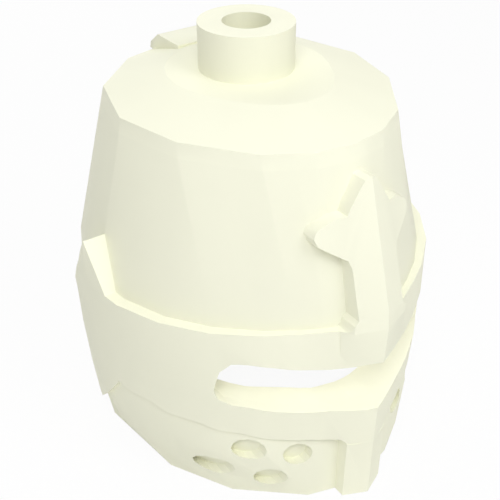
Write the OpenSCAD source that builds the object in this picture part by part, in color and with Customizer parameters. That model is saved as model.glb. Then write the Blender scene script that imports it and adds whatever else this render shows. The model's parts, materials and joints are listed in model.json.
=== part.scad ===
// Flat-topped closed helmet with a crest socket, a raised face guard with a
// ridged cross, one eye slit, round breaths and a back plate on a top hinge.
// Millimetres. +Z up, the wearer looks along -Y, the wearer's left is +X.
// The bottom edge stands on z = 0.

/* [Overall] */
// Height of the flat crown above the bottom edge
crown_h = 274; // [240:1:310]
// Wall of the skull and of the inner plates
wall = 6; // [4:0.5:9]
// Gap round the moving back plate
door_gap = 0.5; // [0.3:0.1:1.5]

/* [Crown] */
// Half width of the flat disc on the crown
disc_side = 54.4; // [45:0.2:62]
// Reach of the flat disc to the front
disc_front = 68.4; // [58:0.2:76]
// Drop from the disc to the rim
rim_drop = 12; // [6:0.5:20]
// Half width of the rim
rim_side = 95.4; // [85:0.2:105]
// Reach of the rim to the front
rim_front = 110.3; // [98:0.2:122]

/* [Crest socket] */
// Outer radius of the tube
tube_r = 32; // [24:0.5:40]
// Bore radius of the tube
tube_bore_r = 16; // [10:0.5:20]
// Height of the tube above the crown
tube_h = 30.6; // [20:0.2:45]
// Radius of the spigot through the crown plate
spigot_r = 24; // [20:0.5:30]
// Thickness of the ring nut under the crown
nut_t = 7; // [5:0.5:10]

/* [Skull] */
// Depth of the brow ledge below the crown
ledge_d = 122.2; // [100:0.2:140]
// Half width of the skull at the brow ledge
brow_side = 122.2; // [110:0.2:130]
// Reach of the skull to the front at the brow ledge
brow_front = 143; // [130:0.5:155]
// How fast the front ridge fades to the sides, in degrees
ridge_fade = 21; // [12:0.5:35]
// Half width of the bottom edge
hem_side = 112.2; // [104:0.5:122]
// Reach of the bottom edge to the front
hem_front = 139; // [125:0.5:150]

/* [Face guard] */
// Thickness of the face guard over the skull's side
guard_t = 5.8; // [4.6:0.1:9]
// Thickness of the face guard over the skull's ridge
guard_ridge_t = 9; // [7.5:0.1:14]
// Flare of the wing tips beyond the face guard
wing_flare = 2.8; // [0:0.2:6]
// Depth of the wing tips below the crown
wing_d = 89.5; // [75:0.5:110]
// Half width of the wings at the brow ledge
wing_half = 20; // [12:0.5:30]

/* [Eye slit] */
// Depth of the slit's upper edge below the crown
slit_top_d = 150.3; // [140:0.1:165]
// Depth of the slit's lower edge below the crown
slit_low_d = 190; // [175:0.1:205]
// Half length of the slit
slit_half = 91.8; // [70:0.2:100]

/* [Cross] */
// Depth of the top of the cross below the crown
cross_top_d = 26.8; // [20:0.2:50]
// Half width of the upright bar
bar_half = 17.8; // [10:0.2:24]
// Half span of the arms
arm_half = 36.5; // [26:0.5:50]
// Rise of the cross's front face per millimetre of height
cross_lean = 0.304; // [0.2:0.002:0.4]
// Slope of the cross's face to each side of its ridge
cross_slope = 0.42; // [0.2:0.01:0.6]

/* [Lower face plate] */
// Thickness of the plate over the chin plate
pad_t = 6.5; // [4:0.5:9]
// Radius of the breaths
breath_r = 9.3; // [6:0.1:12]
// Height of the air slots behind the breaths
air_slot_h = 3.2; // [2:0.1:5]
// Width of the air slots behind the breaths
air_slot_w = 9; // [5:0.5:12]

/* [Back plate and hinge] */
// Half angle of the back plate
door_half = 46; // [38:0.5:50]
// Depth of the back plate's top edge below the crown
door_top_d = 22; // [18:0.5:30]
// Depth of the hinge axis below the crown
hinge_d = 16.8; // [15:0.1:20]
// Distance of the hinge axis behind the tube's axis
hinge_y = 101; // [99:0.2:108]
// Radius of the hinge knuckles
knuckle_r = 4.2; // [3.5:0.1:5]
// Radius of the hinge pin
pin_r = 2; // [1.5:0.1:2.5]
// Running clearance of the pin
pin_clear = 0.06; // [0.02:0.01:0.1]
// Half width of the hinge lug on the crown
lug_half = 19.3; // [14:0.2:26]

/* [Latches] */
// Depth of the latches below the crown
latch_d = 214; // [200:1:240]
// Distance from a latch's pivot to its stud, along the wall
latch_reach = 21.8; // [18:0.2:30]
// Thickness of a latch hook
hook_t = 2.2; // [1.6:0.1:3]
// Radius of the pivot and of the stud's neck
neck_r = 2.5; // [2:0.1:3]
// Radius of the heads
head_r = 4.5; // [3.6:0.1:6]

/* [Liner] */
// Thickness of the pads
pad_soft = 13; // [8:0.5:16]
// Thickness of the pads at their edges
pad_edge = 4; // [2:0.5:8]

/* [Hidden] */
eps = 0.01;
// Distance from the tube's axis to the middle of the whole, front to back
origin_y = 12.5;
module stand() translate([0, origin_y, 0]) children();
shell_col = [0.95, 0.95, 0.87];
steel_col = [0.72, 0.72, 0.7];
pad_col = [0.85, 0.81, 0.7];

// Angles of the outline's corners from the front ridge to the back.
phi_half = [0, 6.5, 13.7, 21, 30.5, 45, 60, 75, 90, 106, 122, 137.5, 153, 166.5, 180];
last = len(phi_half) - 1;
cols = 2 * last;

// Height of a point that lies d below the flat crown.
function up(d) = crown_h - d;

// Radius at the angle b on the straight chord between [a, ra] and [c, rc].
function chord(ra, rc, a, b, c) = ra * rc * sin(c - a) / (ra * sin(b - a) + rc * sin(c - b));

// Radius at an angle p on an outline drawn through corners [angle, radius].
function drawn(c, p, i = 0) = i > len(c) - 2 ? c[len(c) - 1][1]
  : p < c[i + 1][0] ? chord(c[i][1], c[i + 1][1], c[i][0], p, c[i + 1][0]) : drawn(c, p, i + 1);

// Outline radius at an angle p. The share fades off fast behind the ridge and
// the rest follows the rounded front. A drawn level goes through its corners.
function plan(lv, p) = is_list(lv[1]) ? drawn(lv[1], p) - lv[2] : lv[1] + (lv[2] - lv[1])
  * (lv[3] * exp(-p / lv[6]) + (1 - lv[3]) * (p < 90 ? pow(cos(p), lv[4]) : 0));
function flat_plan(lv, i) =
  let (p0 = phi_half[i - 1], p1 = phi_half[i], p2 = phi_half[i + 1])
  chord(plan(lv, p0), plan(lv, p2), p0, p1, p2);

// One level is [height, side, front, ridge share, front power, straight sides, fade],
// or [height, corners, inset, angles] for an outline that is drawn through corners.
function angles(lv) = is_list(lv[3]) ? lv[3] : phi_half;
function radius(lv, i) = (lv[5] == 1 && i % 2 == 1) ? flat_plan(lv, i) : plan(lv, angles(lv)[i]);
function col_of(k) = k <= last ? k : cols - k;
function ang_of(lv, k) = k <= last ? angles(lv)[k] : 360 - angles(lv)[cols - k];
function spot(lv, k, grow) =
  let (r = radius(lv, col_of(k)) + grow, a = ang_of(lv, k) - 90)
  [r * cos(a), r * sin(a), lv[0]];

// Closed solid through the given levels, from low to high.
module loft(levels, grow) {
  n = len(levels);
  pts = [for (lv = levels) for (k = [0 : cols - 1]) spot(lv, k, grow)];
  sides = [for (j = [0 : n - 2]) for (k = [0 : cols - 1])
    let (k2 = (k + 1) % cols, a = j * cols + k, b = j * cols + k2, c = a + cols, d = b + cols)
    each (k < last ? [[a, c, d], [a, d, b]] : [[a, c, b], [b, c, d]])];
  low = [[for (k = [0 : cols - 1]) k]];
  high = [[for (k = [cols - 1 : -1 : 0]) (n - 1) * cols + k]];
  polyhedron(points = pts, faces = concat(low, sides, high), convexity = 6);
}

// Slopes of the skull's side and front between the rim and the brow ledge.
drop = ledge_d - rim_drop;
slope_side = (brow_side - rim_side) / drop;
slope_front = (brow_front - rim_front) / drop;
lean_side = atan(slope_side);

// The face guard lies on the skull.
guard_side = brow_side + guard_t;
guard_front = brow_front + guard_ridge_t;

// Heights above the bottom edge at which the lower face changes its outline.
jaw_up = 69;
puff_up = 50;
chin_up = 21;
jaw_d = crown_h - jaw_up;
puff_d = crown_h - puff_up;
chin_d = crown_h - chin_up;

// A depth in the field below the guard, as a share of the way down from the
// guard's lower edge beside the nose to the bottom edge.
notch_d = 203;
function low(share) = notch_d + share * (crown_h - notch_d);

// Outlines of the lower face from the bottom edge up, as [angle, radius].
hem_phi = [0, 6.5, 16, 24, 32, 40, 52, 65, 84, 102.4, 120, 137.5, 153, 166.5, 180];
hem_corners = [[0, hem_front - 0.4], [7.5, hem_front - 2.8], [16, hem_front - 4.8],
  [40, hem_side + 9.6], [65, hem_side + 1.6], [102.4, hem_side + 2.4], [120, hem_side]];
chin_corners = [[0, hem_front - 0.6], [7.5, hem_front - 3.2], [13.7, hem_front - 1.9],
  [21, hem_front - 4.1], [30.5, hem_side + 17.8], [45, hem_side + 11.5], [60, hem_side + 7.2],
  [75, hem_side + 5.8]];
puff_corners = [[0, hem_front - 0.6], [7.5, hem_front - 3.3], [13.7, hem_front - 3.3],
  [30.5, hem_side + 19.8], [45, hem_side + 16.6], [60, hem_side + 13.4], [75, hem_side + 11],
  [90, hem_side + 9.6]];
jaw_corners = [[0, hem_front - 1.6], [7.5, hem_front - 4.2], [13.7, hem_front - 5.7],
  [30.5, hem_side + 17], [45, hem_side + 15], [60, hem_side + 13.4], [75, hem_side + 12.4],
  [90, hem_side + 11.6]];

// Levels of the skull from the bottom edge up. Its outside carries the rest.
disc_level = [crown_h, disc_side, disc_front, 0, 4.5, 0, 20];
rim_level = [up(rim_drop), rim_side, rim_front, 0, 3.2, 1, 20];
brow_level = [up(ledge_d), brow_side, brow_front, 1, 1, 0, ridge_fade];
waist_level = [up(150), brow_side, brow_front, 1, 1, 0, ridge_fade];
cheek_level = [up(181), brow_side - 1, brow_front - 3.3, 1, 1, 0, ridge_fade];
jaw_level = [up(jaw_d), jaw_corners, pad_t];
puff_level = [up(puff_d), puff_corners, pad_t];
chin_level = [up(chin_d), chin_corners, pad_t];
hem_level = [0, hem_corners, pad_t, hem_phi];
low_levels = [hem_level, chin_level, puff_level, jaw_level, cheek_level, waist_level, brow_level];
module skull_solid() loft(concat(low_levels, [rim_level]), 0);
module outer_solid() loft(concat(low_levels, [rim_level, disc_level]), 0);

// The space left inside a wall of thickness t.
function under_rim(t) =
  [up(rim_drop + t), rim_side + slope_side * t, rim_front + slope_front * t, 0, 3.2, 1, 20];
function under_disc(t) = [up(t), disc_side, disc_front, 0, 4.5, 0, 20];
module inner_solid(t) translate([0, 0, -eps])
  loft(concat(low_levels, [under_rim(t), under_disc(t)]), -t);

// Levels of the face guard's outside and of the lower face plate's outside.
guard_levels = [
  [0, guard_side - 8.5, guard_front - 1.4, 1, 1, 0, ridge_fade],
  [up(low(0.690141)), guard_side - 5.8, guard_front - 1, 1, 1, 0, ridge_fade],
  [up(low(0.239437)), guard_side - 2.6, guard_front - 0.7, 1, 1, 0, ridge_fade],
  [up(181), guard_side, guard_front - 0.3, 1, 1, 0, ridge_fade],
  [up(150), guard_side + 0.8, guard_front, 1, 1, 0, ridge_fade],
  [up(ledge_d), guard_side + wing_flare, guard_front + 0.8, 1, 1, 0, 11.5],
  [up(wing_d), guard_side + wing_flare - 0.6, guard_front + 0.8, 1, 1, 0, 11.5],
  [up(wing_d - 20), guard_side + wing_flare, guard_front + 0.8, 1, 1, 0, 11.5]];
plate_levels = [[0, hem_corners, 0, hem_phi], [up(chin_d), chin_corners, 0],
  [up(puff_d), puff_corners, 0], [up(jaw_d), jaw_corners, 0], [up(180), jaw_corners, 0]];
module guard_solid() loft(guard_levels, 0);
module plate_solid() loft(plate_levels, 0);

// Wedge seen from above, from the axis out to r, over a each side of the front.
module front_wedge(a, z0, z1) {
  r = 400;
  steps = 12;
  translate([0, 0, z0]) linear_extrude(z1 - z0) polygon(concat([[0, 0]],
    [for (k = [-steps : steps]) [r * sin(a * k / steps), -r * cos(a * k / steps)]]));
}
module back_wedge(h, z0, z1) rotate([0, 0, 180]) front_wedge(h, z0, z1);

// A side view outline [y, depth] pushed through the whole width.
module side_cut(pts) rotate([90, 0, 90]) translate([0, 0, -200]) linear_extrude(400)
  polygon([for (p = pts) [p[0], up(p[1])]]);
// A front view outline [x, depth] pushed from the front to y = back.
module front_cut(pts, back) translate([0, back, 0]) rotate([90, 0, 0]) linear_extrude(200 + back)
  polygon([for (p = pts) [p[0], up(p[1])]]);

// Everything between two depths.
module slab(d0, d1) translate([-200, -200, up(d1)]) cube([400, 400, d1 - d0]);

// A spot on the wall at the angle p, the depth d and the radius r, facing out.
module out_at(p, d, r, lean) translate([r * sin(p), -r * cos(p), up(d)])
  rotate([0, 90 - lean, p - 90]) children();
module each_side(s) if (s > 0) children(); else mirror([1, 0, 0]) children();

// A pan screw: the head lies on the seat and the shank runs outward.
screw_r = 2;
screw_head_r = 4;
screw_head_h = 1.8;
seat = 0.8;
fit = 0.05;
module screw(l) {
  translate([0, 0, -screw_head_h]) cylinder(h = screw_head_h, r = screw_head_r, $fn = 32);
  cylinder(h = l, r = screw_r, $fn = 24);
}
// The hole and the flat seat for that screw.
module screw_hole(l) rotate([0, 0, 23]) {
  translate([0, 0, -6]) cylinder(h = 6, r = screw_head_r + 0.4, $fn = 32);
  translate([0, 0, -eps]) cylinder(h = l + 0.4, r = screw_r + fit, $fn = 24);
}

// Half outlines. The wings rise from the brow ledge, the tails run to the hem.
crown_skirt_d = door_top_d - door_gap;
guard_top = [[-170, ledge_d], [-wing_half - 1, ledge_d], [-1, wing_d], [7.5, 101], [15, 113.7],
  [25, 126.7], [32.5, 137], [44, 152], [100, 176], [170, 176],
  [170, low(0.830986)], [60, low(0.830986)]];
// The guard's lower edge, which the lower face plate meets, from back to front.
notch = [[46, low(0.971831)], [23.5, low(0.647887)], [2.5, low(0.352113)], [-10, low(0.140845)],
  [-20, 199.5], [-52, 199.8], [-64, 203], [-85, 204.6], [-96, 208.3], [-104, 208.8],
  [-117, 212.7], [-128, 213.8], [-137, 215.4], [-141, 217.2], [-143.6, 222.8], [-170, 222.8]];
guard_edge = concat(guard_top, notch);
plate_edge = concat(notch, [[-170, crown_h + 6], [46, crown_h + 6]]);
slit_half_edge = [[0, slit_top_d], [16.6, 150.8], [31.4, 150.5], [43, 149.5], [54.4, 148.5],
  [64.3, 146.6], [73.6, 145.3], [79.7, 145.3], [83.5, 146], [89, 153.3], [90.2, 159],
  [slit_half, 169], [91.5, 171.5], [89.9, 177], [88.6, 178.2], [82.9, 182], [76.8, 182.4],
  [68.2, 184], [61.1, 185.6], [50, 186.8], [39, 187.8], [30, 187.8], [20.5, 189.4],
  [7, slit_low_d + 1], [0, slit_low_d + 0.4]];
foot_half = 26;
cross_half_edge = [[0, cross_top_d], [4.2, 28.3], [7.5, 32.9], [11.6, 39.5], [14.6, 44],
  [16.6, 48], [24.2, 48.5], [34, 54.2], [35.7, 56.3], [arm_half + 0.5, 59.4], [35.5, 64],
  [33.8, 65.3], [24.5, 71.4], [22, 73], [19.5, 74.7], [18, 79.5], [bar_half, 84], [18, 92],
  [18.2, 113], [21.1, 116], [22, 119.5],
  [23.5, 121.4], [foot_half, ledge_d]];
function both(h) = concat(h, [for (i = [len(h) - 2 : -1 : 1]) [-h[i][0], h[i][1]]]);
slit_edge = both(slit_half_edge);
cross_edge = concat(cross_half_edge,
  [for (i = [len(cross_half_edge) - 1 : -1 : 1]) [-cross_half_edge[i][0], cross_half_edge[i][1]]]);

// The ridged front of the cross and of its foot. Each row is [depth, y on the
// ridge, y at the bar's corner, half width of the block, y at that half width].
corner_half = 21.1;
ridge_back = -75;
function cross_y(x, d) = -118.7 - cross_lean * d + cross_slope * x;
foot_row = [ledge_d, -guard_front - 1.1, -145.3, foot_half, -137.5];
cross_rows = [[0, cross_y(0, 0), cross_y(corner_half, 0), 60, cross_y(60, 0)],
  [108, cross_y(0, 108), cross_y(corner_half, 108), 60, cross_y(60, 108)],
  [116, -guard_front - 0.5, -145.5, foot_half, -138.6], foot_row];
foot_rows = [foot_row, [135, -guard_front - 0.9, -144.3, foot_half, -138.8],
  [slit_top_d + 0.6, -guard_front - 0.05, -142.4, foot_half, -140]];
module ridge_block(rows) {
  n = len(rows);
  pts = [for (q = rows) each [[-q[3], ridge_back, up(q[0])], [-q[3], q[4], up(q[0])],
    [-corner_half, q[2], up(q[0])], [0, q[1], up(q[0])], [corner_half, q[2], up(q[0])],
    [q[3], q[4], up(q[0])], [q[3], ridge_back, up(q[0])]]];
  sides = [for (j = [0 : n - 2]) for (k = [0 : 6])
    let (a = 7 * j + k, b = 7 * j + (k + 1) % 7, c = a + 7, d = b + 7) each [[a, b, d], [a, d, c]]];
  polyhedron(points = pts, faces = concat([[6, 5, 4, 3, 2, 1, 0]], sides,
    [[for (k = [0 : 6]) 7 * (n - 1) + k]]), convexity = 4);
}

// Screw seats in turn. Each list is [angle, depth].
seam_angle = asin(door_gap / (2 * rim_side));
fixed_end = 180 - door_half - seam_angle;
door_end = door_half - seam_angle;
ring_t = 3.5;
ring_edge_d = 38;
ring_hole_r = 70;
flange_r = 80;
flange_spots = [20, 60, 105, 150];
skirt_spots = [30.5, 90, 122];
skirt_screw_d = 30;
guard_spots = [21, 45, 75, 90];
guard_screw_d = 131;
tail_spots = [106, 122];
tail_screw_d = 181;
function wall_r(p, d) = let (t = (d - rim_drop) / drop)
  plan(rim_level, p) * (1 - t) + plan(brow_level, p) * t;

module flange_screws(s) for (p = flange_spots) out_at(s * p, 17.4, flange_r, 90) children();
module skirt_screws(s) for (p = skirt_spots)
  out_at(s * p, skirt_screw_d, wall_r(p, skirt_screw_d) - wall - ring_t + seat, lean_side) children();
// Radius of the lower skull round the chin.
function low_r(p, d) = let (t = (d - puff_d) / (chin_d - puff_d))
  plan(puff_level, p) * (1 - t) + plan(chin_level, p) * t;
module cheek_screw(s) out_at(s * 45, 193,
  (plan(cheek_level, 45) + plan(jaw_level, 45)) / 2 - wall + seat, 0) children();
side_screw_d = (puff_d + chin_d) / 2 + 1.5;
module side_screw(s)
  out_at(s * 75, side_screw_d, low_r(75, side_screw_d) - wall + seat, 0) children();
nose_phi = 5;
module nose_screws(s) for (d = [puff_d + 8, chin_d + 7])
  out_at(s * nose_phi, d, low_r(nose_phi, d) - wall + seat, 0) children();
module brow_screws(s) for (p = guard_spots)
  out_at(s * p, guard_screw_d, plan(brow_level, p) - wall + seat, 0) children();
module tail_screws(s) for (p = tail_spots)
  out_at(s * p, tail_screw_d, plan(cheek_level, p) - wall + seat, 0) children();

// Crown: the flat disc, the sloping ring and a short skirt in one plate.
module crown_plate() color(shell_col) stand() difference() {
  intersection() {
    outer_solid();
    slab(-1, crown_skirt_d);
  }
  inner_solid(wall);
  translate([0, 0, up(20)]) cylinder(h = 30, r = spigot_r + fit, $fn = 64);
  for (s = [-1, 1]) flange_screws(s) screw_hole(7.4);
  for (s = [-1, 1]) translate([s * 10, 66, up(9)]) screw_hole(9);
}

// Crest socket: a plain tube whose spigot passes through the crown.
module crest_socket() color(shell_col) stand() difference() {
  union() {
    translate([0, 0, crown_h]) cylinder(h = tube_h, r = tube_r, $fn = 96);
    translate([0, 0, up(13)]) cylinder(h = 13 + eps, r = spigot_r, $fn = 64);
  }
  translate([0, 0, up(10)]) cylinder(h = tube_h + 11, r = tube_bore_r, $fn = 64);
  translate([0, 0, up(14)]) cylinder(h = 5, r = 3.2, $fn = 32);
}

// Ring nut under the crown, with four spanner notches.
module socket_ring_nut() color(steel_col) stand() difference() {
  translate([0, 0, up(wall + nut_t)]) cylinder(h = nut_t - eps, r = tube_r + 3, $fn = 64);
  translate([0, 0, up(wall + nut_t + 1)]) cylinder(h = nut_t + 2, r = spigot_r + fit, $fn = 64);
  for (a = [0 : 90 : 270]) rotate([0, 0, a + 45]) translate([tube_r - 1, -3, up(wall + nut_t + 1)])
    cube([8, 6, 5]);
}

// Angle ring inside the corner that carries the crown plate on the skull.
module joining_ring() color(steel_col) stand() difference() {
  intersection() {
    inner_solid(wall);
    slab(0, ring_edge_d);
  }
  inner_solid(wall + ring_t);
  translate([0, 0, up(30)]) cylinder(h = 40, r = ring_hole_r, $fn = 64);
  back_wedge(door_half + 0.6, up(ring_edge_d + 1), up(crown_skirt_d - 1));
  for (s = [-1, 1]) {
    flange_screws(s) screw_hole(7.4);
    skirt_screws(s) screw_hole(6.4);
  }
}
module joining_ring_screws() color(steel_col) stand() for (s = [-1, 1]) {
  flange_screws(s) screw(7.4);
  skirt_screws(s) screw(6.2);
}

// Skull: the side and front wall, cut away for the face and the back plate.
module skull() color(shell_col) stand() difference() {
  intersection() {
    skull_solid();
    front_wedge(fixed_end, 0, up(crown_skirt_d));
  }
  inner_solid(wall);
  side_cut([[-200, 140], [-60, 140], [-60, crown_h + 16], [-200, crown_h + 16]]);
  for (s = [-1, 1]) {
    skirt_screws(s) screw_hole(6.4);
    brow_screws(s) screw_hole(9.2);
    tail_screws(s) screw_hole(10);
    side_screw(s) screw_hole(9);
    out_at(s * 13.7, 60, wall_r(13.7, 60) - wall + seat, atan(slope_front)) screw_hole(10);
  }
  for (d = [62, 104]) out_at(0, d, wall_r(0, d) - wall + seat, atan(slope_front)) screw_hole(12);
}

// Face guard: brow band, wings and tails round the face in one plate. Its
// windows are the eye slit and the notch that bares the lower face plate.
module face_guard() color(shell_col) stand() difference() {
  union() {
    intersection() {
      guard_solid();
      side_cut(guard_edge);
      front_wedge(fixed_end, 0, crown_h);
    }
    ridge_block(foot_rows);
  }
  skull_solid();
  front_cut(slit_edge, -55);
  for (s = [-1, 1]) {
    brow_screws(s) screw_hole(9.2);
    tail_screws(s) screw_hole(10);
    cheek_screw(s) screw_hole(10);
    at_latch(s, stud_u) translate([0, 0, 110]) cylinder(h = 30, r = neck_r + fit, $fn = 24);
  }
}

// Cross on the brow: one ridged plate standing on the face guard's ledge.
module brow_cross() color(shell_col) stand() difference() {
  intersection() {
    ridge_block(cross_rows);
    front_cut(cross_edge, -75);
  }
  skull_solid();
  for (s = [-1, 1])
    out_at(s * 13.7, 60, wall_r(13.7, 60) - wall + seat, atan(slope_front)) screw_hole(10);
  for (d = [62, 104]) out_at(0, d, wall_r(0, d) - wall + seat, atan(slope_front)) screw_hole(12);
}
module cross_screws() color(steel_col) stand() {
  for (s = [-1, 1])
    out_at(s * 13.7, 60, wall_r(13.7, 60) - wall + seat, atan(slope_front)) screw(9.6);
  for (d = [62, 104]) out_at(0, d, wall_r(0, d) - wall + seat, atan(slope_front)) screw(11.6);
}

// The breaths on one side, as [x, depth] of each centre.
breaths = [[88.5, low(0.63662)], [73.5, low(0.295775)], [45.4, low(0.376056)], [60.9, low(0.690141)]];
module breath_holes() for (s = [-1, 1]) for (b = breaths)
  translate([s * b[0], -60, up(b[1])]) rotate([90, 0, 0]) cylinder(h = 140, r = breath_r, $fn = 12);

module lower_face_plate() color(shell_col) stand() difference() {
  intersection() {
    plate_solid();
    side_cut(plate_edge);
  }
  skull_solid();
  breath_holes();
  for (s = [-1, 1]) {
    side_screw(s) screw_hole(9);
    nose_screws(s) screw_hole(14);
  }
}

// Inner face plate: it backs the breaths, carries the ledge under the slit and
// lets air in through a short slot high behind each breath, out of sight.
ledge_in = [[0, 116], [7, 114.9], [13, 115.4], [16.4, 113.8], [20, 111], [25, 109.2], [36, 108.8],
  [41, 108], [46, 106.5], [54, 103], [62, 100]];
function ledge_spot(q, s) = [s * q[1] * sin(q[0]), -q[1] * cos(q[0])];
module ledge_hole() translate([0, 0, -1]) linear_extrude(crown_h) polygon(concat(
  [for (q = ledge_in) ledge_spot(q, 1)], [[60, 0], [-60, 0]],
  [for (i = [len(ledge_in) - 1 : -1 : 1]) ledge_spot(ledge_in[i], -1)]));
module inner_face_plate() color(shell_col) stand() difference() {
  union() {
    difference() {
      skull_solid();
      inner_solid(wall);
    }
    intersection() {
      skull_solid();
      slab(176, 195);
      side_cut([[-200, 178], [-60, 178], [-60, 184], [-118, 194.4], [-200, 194.4]]);
    }
  }
  intersection() {
    ledge_hole();
    inner_solid(wall);
  }
  slab(-1, 140);
  translate([-200, -60, -1]) cube([400, 300, 300]);
  front_cut(slit_edge, -55);
  for (s = [-1, 1]) {
    for (b = breaths) translate([s * b[0] - air_slot_w / 2, -200, up(b[1]) + 0.48 * breath_r])
      cube([air_slot_w, 160, air_slot_h]);
    cheek_screw(s) screw_hole(10);
    out_at(s * 45, guard_screw_d, plan(brow_level, 45) - wall + seat, 0) screw_hole(9.2);
    nose_screws(s) screw_hole(14);
  }
}

nose_face = 143.4;
nose_half = 17.2;
module nose_bar() color(shell_col) stand() difference() {
  intersection() {
    linear_extrude(crown_h) polygon([[-nose_half, -nose_face], [0, -guard_front + 0.8],
      [nose_half, -nose_face], [nose_half, -120], [-nose_half, -120]]);
    side_cut(plate_edge);
  }
  plate_solid();
  for (s = [-1, 1]) {
    nose_screws(s) screw_hole(14);
  }
}

module guard_screws() color(steel_col) stand() for (s = [-1, 1]) {
  brow_screws(s) screw(8.8);
  tail_screws(s) screw(9.6);
}
module face_plate_screws() color(steel_col) stand() for (s = [-1, 1]) {
  cheek_screw(s) screw(9.6);
  side_screw(s) screw(8.6);
  nose_screws(s) screw(13.6);
}

// Hinge: a lug on the crown with two ears, a pin, and the back plate's leaf.
ear_out = 12;
ear_in = 6.2;
leaf_half = 6;
module knuckle(x0, x1) translate([x0, hinge_y, up(hinge_d)]) rotate([0, 90, 0])
  cylinder(h = x1 - x0, r = knuckle_r, $fn = 48);
module pin_hole(r) translate([-30, hinge_y, up(hinge_d)]) rotate([0, 90, 0])
  cylinder(h = 60, r = r, $fn = 32);
module hinge_lug() color(shell_col) stand() difference() {
  union() {
    difference() {
      translate([-lug_half, 0, 0]) rotate([90, 0, 90]) linear_extrude(2 * lug_half) polygon([
        [disc_side + 1, crown_h + 0.8], [83.5, crown_h + 0.8], [94.4, up(7.5)], [95.6, up(12.3)],
        [60, up(12.3)], [disc_side + 1, up(2)]]);
      outer_solid();
    }
    for (s = [-1, 1]) {
      knuckle(s > 0 ? ear_in : -ear_out, s > 0 ? ear_out : -ear_in);
      difference() {
        translate([s > 0 ? ear_in : -ear_out, 0, 0]) rotate([90, 0, 90])
          linear_extrude(ear_out - ear_in) polygon([[90, up(8)], [94.6, up(8)],
            [hinge_y + 2.5, up(hinge_d - 3)], [hinge_y, up(hinge_d)], [hinge_y - 3.8, up(hinge_d + 0.6)],
            [90, up(hinge_d)]]);
        outer_solid();
      }
    }
  }
  pin_hole(pin_r + fit);
  for (s = [-1, 1]) translate([s * 10, 66, up(9)]) screw_hole(7.8);
}
module lug_screws() color(steel_col) stand() for (s = [-1, 1]) translate([s * 10, 66, up(9)]) screw(7.8);
module hinge_pin() color(steel_col) stand() {
  translate([-ear_out - 1.4, hinge_y, up(hinge_d)]) rotate([0, 90, 0])
    cylinder(h = 2 * ear_out + 2.8, r = pin_r, $fn = 32);
  for (x = [-ear_out - 1.4, ear_out + 0.1]) translate([x, hinge_y, up(hinge_d)]) rotate([0, 90, 0])
    cylinder(h = 1.3, r = pin_r + 0.9, $fn = 32);
}
// The strap follows the back plate's slope from the knuckle down.
strap_t = 3;
module strap(x, d0, d1) intersection() {
  translate([-x, 0, 0]) rotate([90, 0, 90]) linear_extrude(2 * x) polygon([
    [80, up(d0)], [rim_side + slope_side * (d0 - rim_drop) + strap_t, up(d0)],
    [rim_side + slope_side * (d1 - rim_drop) + strap_t, up(d1)], [80, up(d1)]]);
  slab(d0, d1);
}
module hinge_leaf() color(steel_col) stand() difference() {
  union() {
    difference() {
      union() {
        strap(leaf_half, hinge_d, 32);
        strap(16, 26, 62);
      }
      slab(0, door_top_d);
    }
    difference() {
      union() {
        knuckle(-leaf_half, leaf_half);
        strap(leaf_half, hinge_d + 1, door_top_d + 1);
      }
      translate([-40, 80, up(hinge_d + 9)]) cube([80, 17.2, 20]);
    }
  }
  skull_solid();
  pin_hole(pin_r + pin_clear);
  leaf_spots() leaf_hole();
}
module leaf_spots() for (q = [[-10, 34], [10, 34], [0, 48]])
  translate([q[0], rim_side + slope_side * (q[1] - rim_drop) + strap_t - 0.4, up(q[1])])
  rotate([90 - lean_side, 0, 0]) children();
module leaf_hole() rotate([0, 0, 23]) {
  translate([0, 0, -6]) cylinder(h = 6, r = screw_head_r + 0.3, $fn = 32);
  cylinder(h = 8, r = screw_r + fit, $fn = 24);
}
module leaf_screws() color(steel_col) stand() leaf_spots() {
  translate([0, 0, -1.4]) cylinder(h = 1.4, r = screw_head_r, $fn = 32);
  cylinder(h = 7.4, r = screw_r, $fn = 24);
}

module back_plate() color(shell_col) stand() difference() {
  intersection() {
    skull_solid();
    back_wedge(door_end, 0, up(door_top_d));
  }
  inner_solid(wall);
  leaf_spots() leaf_hole();
  for (s = [-1, 1]) band_spots(s) screw_hole(10);
}
module band_spots(s) for (q = [153, 166.5])
  out_at(s * q, tail_screw_d, plan(cheek_level, q) - wall + seat, 0) children();
module nape_band() color(shell_col) stand() difference() {
  intersection() {
    guard_solid();
    side_cut(guard_edge);
    back_wedge(door_end, 0, crown_h);
  }
  skull_solid();
  for (s = [-1, 1]) {
    band_spots(s) screw_hole(10);
    at_latch(s, stud_u + latch_reach) translate([0, 0, 110]) cylinder(h = 30, r = neck_r + fit, $fn = 24);
  }
}
module nape_band_screws() color(steel_col) stand() for (s = [-1, 1]) band_spots(s) screw(9.6);

// Latches. Each hook hangs free on the back plate and swings up on to its stud.
latch_plane = guard_side - 1.7;
hook_swing = 90;
module at_latch(s, u) rotate([0, 0, s * (90 - door_half)]) translate([0, u, up(latch_d)])
  rotate([0, s * 90, 0]) children();
stud_u = -9.8;
// One riveted stud: a boss on the plate, a neck and a flat head.
module stud(head_z) {
  translate([0, 0, latch_plane - 6.2]) cylinder(h = 6.2 + head_z + 0.5, r = neck_r, $fn = 24);
  translate([0, 0, latch_plane + head_z]) cylinder(h = 1.3, r = head_r, $fn = 32);
}
module latch_post(s, u) color(steel_col) stand() union() {
  at_latch(s, u) stud(hook_t + 0.1);
  difference() {
    at_latch(s, u) translate([0, 0, latch_plane - 4]) cylinder(h = 3.9, r = 5, $fn = 32);
    guard_solid();
  }
}
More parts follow.
